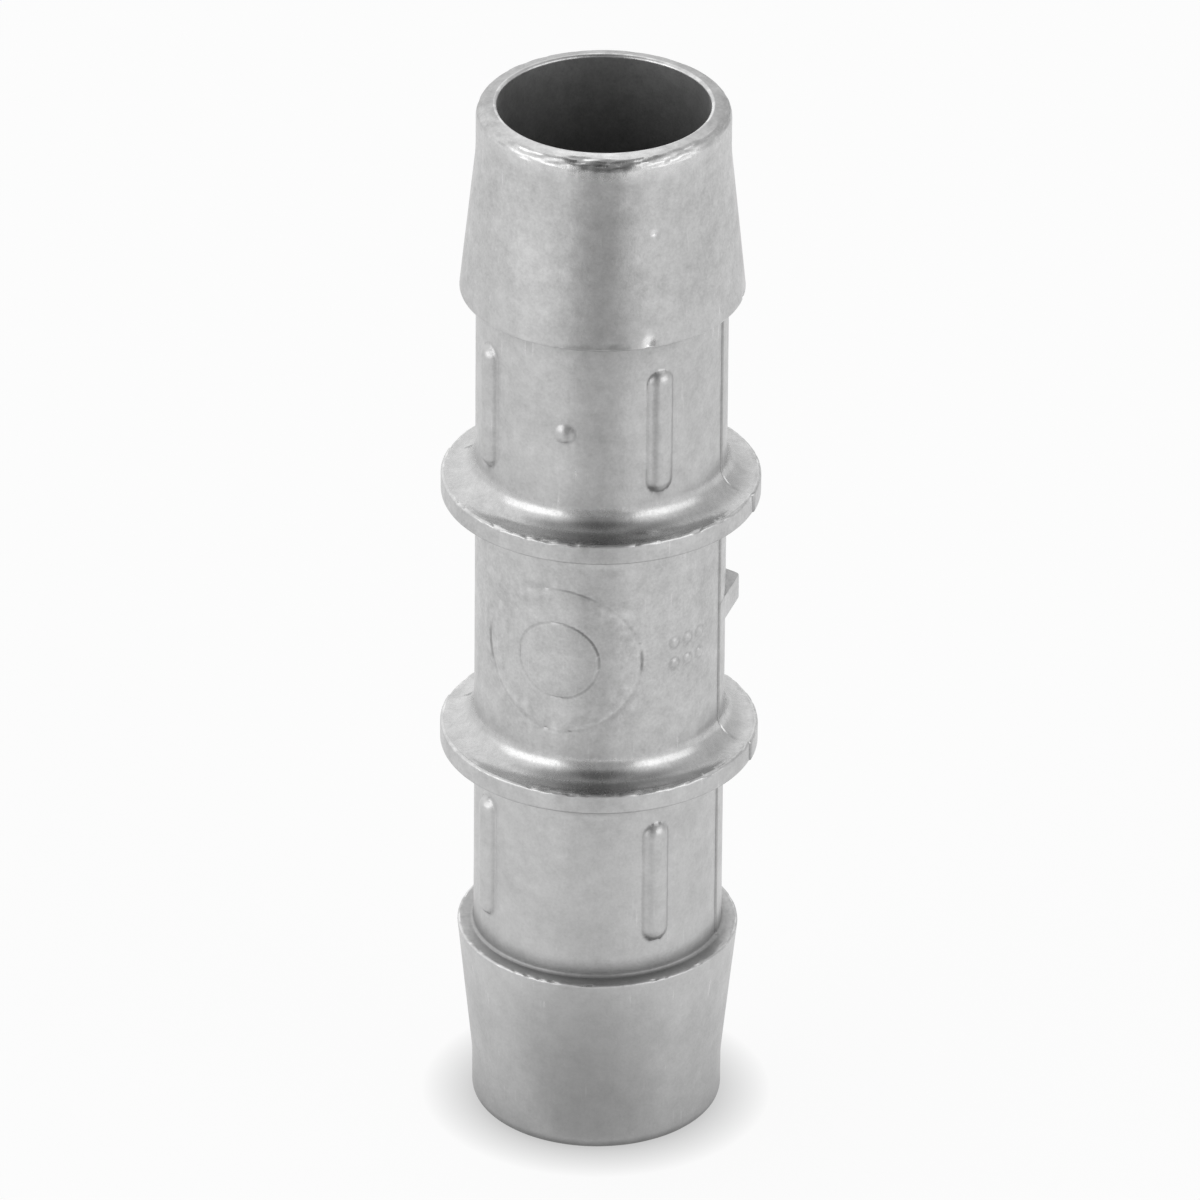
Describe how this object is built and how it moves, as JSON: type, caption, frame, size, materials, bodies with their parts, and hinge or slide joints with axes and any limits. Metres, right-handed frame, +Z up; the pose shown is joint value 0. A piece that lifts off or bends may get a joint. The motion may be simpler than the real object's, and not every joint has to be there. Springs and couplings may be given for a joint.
{
  "type": "hose barb coupler",
  "caption": "Straight double-ended hose coupler: a barb at each end, ribbed hose seats, two collars round a plain middle and an open bore right through.",
  "frame": {"origin": "middle of the lower end face", "axes": "+Z up along the bore; -Y is the front, towards the mould insert mark and the pip; the mould parting plane is XZ and the gate stub is on the +X side"},
  "size_m": [0.0242, 0.0242, 0.0854],
  "materials": {
    "cast_steel": "cast and tumbled, satin grey with a fine grain and brighter worn edges"
  },
  "bodies": {
    "root": {"coupler_body": "cast_steel"}
  },
  "joints": []
}
